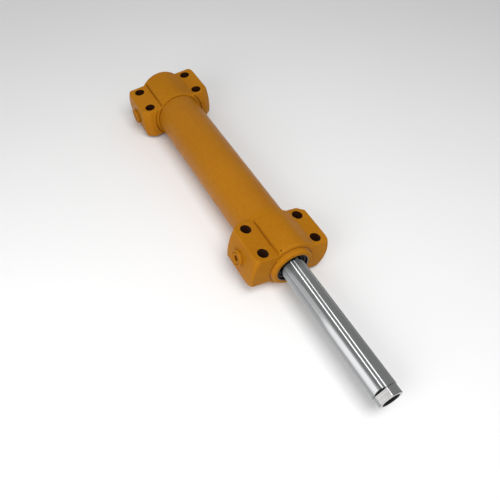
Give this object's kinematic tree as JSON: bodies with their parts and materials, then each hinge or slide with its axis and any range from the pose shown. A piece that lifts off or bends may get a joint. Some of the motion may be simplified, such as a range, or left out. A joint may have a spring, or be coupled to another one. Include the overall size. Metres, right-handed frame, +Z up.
{
  "type": "hydraulic cylinder",
  "caption": "Double-acting hydraulic cylinder with a lugged, through-bolted head at each end of its tube and a chromed rod with a threaded end.",
  "frame": {"origin": "centre of the closed end's flat face, on the cylinder's axis", "axes": "+X along the axis towards the rod end; +Z up with the cylinder lying on the round cores of its two heads; the ports are on the -Y side. The rear head is clocked +8.2 degrees and the front head -8.2 degrees about +X"},
  "size_m": [0.867, 0.1734, 0.1028],
  "materials": {
    "body_paint": "satin to gloss orange-yellow enamel over cast and drawn steel",
    "rod_chrome": "ground and hard-chromed",
    "gland_iron": "machined, dark phosphate",
    "piston_iron": "turned",
    "nut_steel": "turned and milled",
    "spring_steel": "black oxide",
    "rubber": "matt",
    "polyurethane": "satin",
    "bronze_ptfe": "matt",
    "guide_resin": "matt, fabric filled"
  },
  "bodies": {
    "barrel": {"barrel_tube": "body_paint", "rear_head": "body_paint", "front_head": "body_paint", "rear_port_plug": "body_paint", "front_port_plug": "body_paint", "rear_plug_washer": "body_paint", "front_plug_washer": "body_paint", "front_head_o_ring": "rubber", "front_head_backup_ring": "guide_resin", "gland": "gland_iron", "gland_o_ring": "rubber", "gland_backup_ring": "guide_resin", "gland_snap_ring": "spring_steel", "gland_lock_screw": "spring_steel", "rod_guide_ring_rear": "guide_resin", "rod_guide_ring_front": "guide_resin", "rod_buffer_seal": "bronze_ptfe", "rod_seal": "polyurethane", "rod_wiper": "rubber"},
    "piston_rings": {"piston_seal": "bronze_ptfe", "piston_seal_energizer": "rubber", "piston_wear_ring_rear": "guide_resin", "piston_wear_ring_front": "guide_resin"},
    "rod": {"piston_rod": "rod_chrome", "piston": "piston_iron", "piston_nut": "nut_steel", "piston_bore_o_ring": "rubber"}
  },
  "joints": [
    {"name": "rod_slide", "type": "slide", "parent": "barrel", "child": "piston_rings", "axis": [1, 0, 0], "range_m": [-0.25, 0.05]},
    {"name": "rod_turn", "type": "hinge", "parent": "piston_rings", "child": "rod", "pos_m": [0.378, 0, 0], "axis": [1, 0, 0], "continuous": true}
  ]
}
